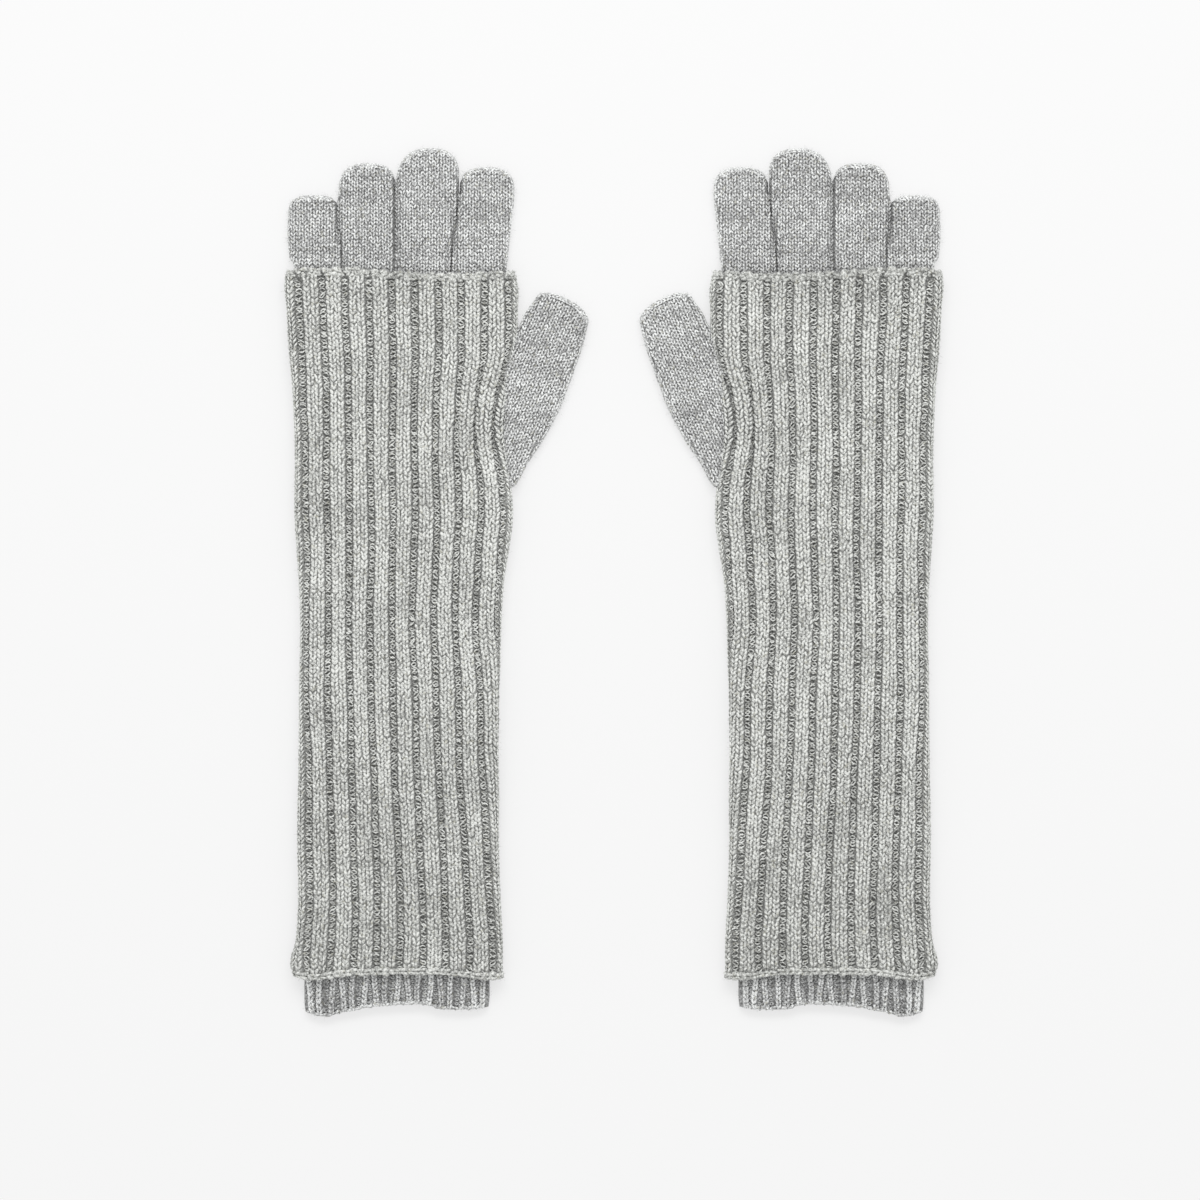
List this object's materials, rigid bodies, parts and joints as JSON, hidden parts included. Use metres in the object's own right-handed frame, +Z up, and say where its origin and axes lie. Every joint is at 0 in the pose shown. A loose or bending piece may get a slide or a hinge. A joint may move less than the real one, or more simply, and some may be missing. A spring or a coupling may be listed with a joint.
{
  "type": "pair of gloves",
  "caption": "Long knitted gloves laid flat: a fine-knit glove with full fingers and a ribbed cuff, under a broad-ribbed open sleeve whose side slit lets the thumb out.",
  "frame": {"origin": "on the surface that the pair lies on, midway between the gloves and midway along them", "axes": "+Y towards the fingertips, +X across the pair from the glove at the picture's left to the one at its right, +Z up from the surface"},
  "size_m": [0.2752, 0.3634, 0.0095],
  "materials": {
    "ribbed_knit": "matt, softly hairy light grey heather yarn in broad ribs",
    "fine_knit": "matt light grey heather yarn in a fine plain knit",
    "cuff_knit": "matt light grey heather yarn in narrow ribs"
  },
  "bodies": {
    "root": {"left_sleeve": "ribbed_knit", "left_hand": "fine_knit", "left_little_finger": "fine_knit", "left_ring_finger": "fine_knit", "left_middle_finger": "fine_knit", "left_index_finger": "fine_knit", "left_thumb": "fine_knit", "left_cuff": "cuff_knit", "right_sleeve": "ribbed_knit", "right_hand": "fine_knit", "right_little_finger": "fine_knit", "right_ring_finger": "fine_knit", "right_middle_finger": "fine_knit", "right_index_finger": "fine_knit", "right_thumb": "fine_knit", "right_cuff": "cuff_knit"}
  },
  "joints": []
}
